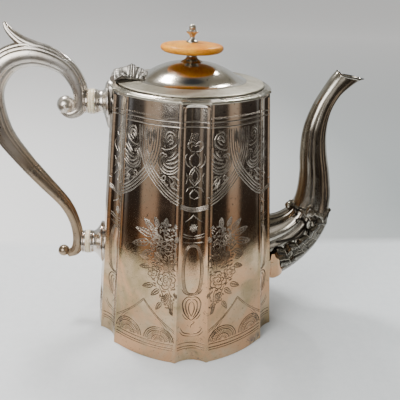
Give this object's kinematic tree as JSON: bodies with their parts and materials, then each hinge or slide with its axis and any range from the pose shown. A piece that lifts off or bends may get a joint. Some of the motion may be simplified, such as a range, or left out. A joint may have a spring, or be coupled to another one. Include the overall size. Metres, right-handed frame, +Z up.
{
  "type": "coffee pot",
  "caption": "Tall tapering silver-plated coffee pot with fluted panels, hinged domed lid, swan-neck spout and insulated scroll handle.",
  "frame": {"origin": "on the body's vertical axis, in the plane the pot stands on", "axes": "+Z up, +X towards the spout, -X towards the handle"},
  "size_m": [0.26, 0.1376, 0.2193],
  "materials": {
    "silver_plate": "polished, engraved and lightly tarnished",
    "cast_silver": "polished casting with dark tarnish in the hollows",
    "hinge_metal": "dull plated metal",
    "insulator_bone": "satin bone",
    "finial_bone": "polished aged bone, amber to cream"
  },
  "bodies": {
    "pot": {"body_wall": "silver_plate", "base_plate": "silver_plate", "rim_deck": "silver_plate", "spout_elbow": "cast_silver", "spout_neck": "cast_silver", "spout_shield": "cast_silver", "spout_acanthus": "cast_silver", "spout_collar": "cast_silver", "handle_scroll": "cast_silver", "thumb_rest": "cast_silver", "upper_ferrule": "cast_silver", "lower_ferrule": "cast_silver", "upper_socket": "cast_silver", "lower_socket": "cast_silver", "cross_pins": "hinge_metal", "hinge_body_leaf": "hinge_metal", "hinge_pin": "hinge_metal", "upper_insulator": "insulator_bone", "lower_insulator": "insulator_bone"},
    "lid": {"lid_shell": "silver_plate", "lid_bezel": "silver_plate", "hinge_lid_leaf": "hinge_metal", "hinge_cover": "cast_silver", "finial_base": "cast_silver", "finial_disc": "finial_bone", "finial_bud": "cast_silver", "finial_washer": "hinge_metal", "finial_nut": "hinge_metal"}
  },
  "joints": [
    {"name": "lid_hinge", "type": "hinge", "parent": "pot", "child": "lid", "pos_m": [-0.0518, 0, 0.1846], "axis": [0, -1, 0], "range_deg": [0, 105]}
  ]
}
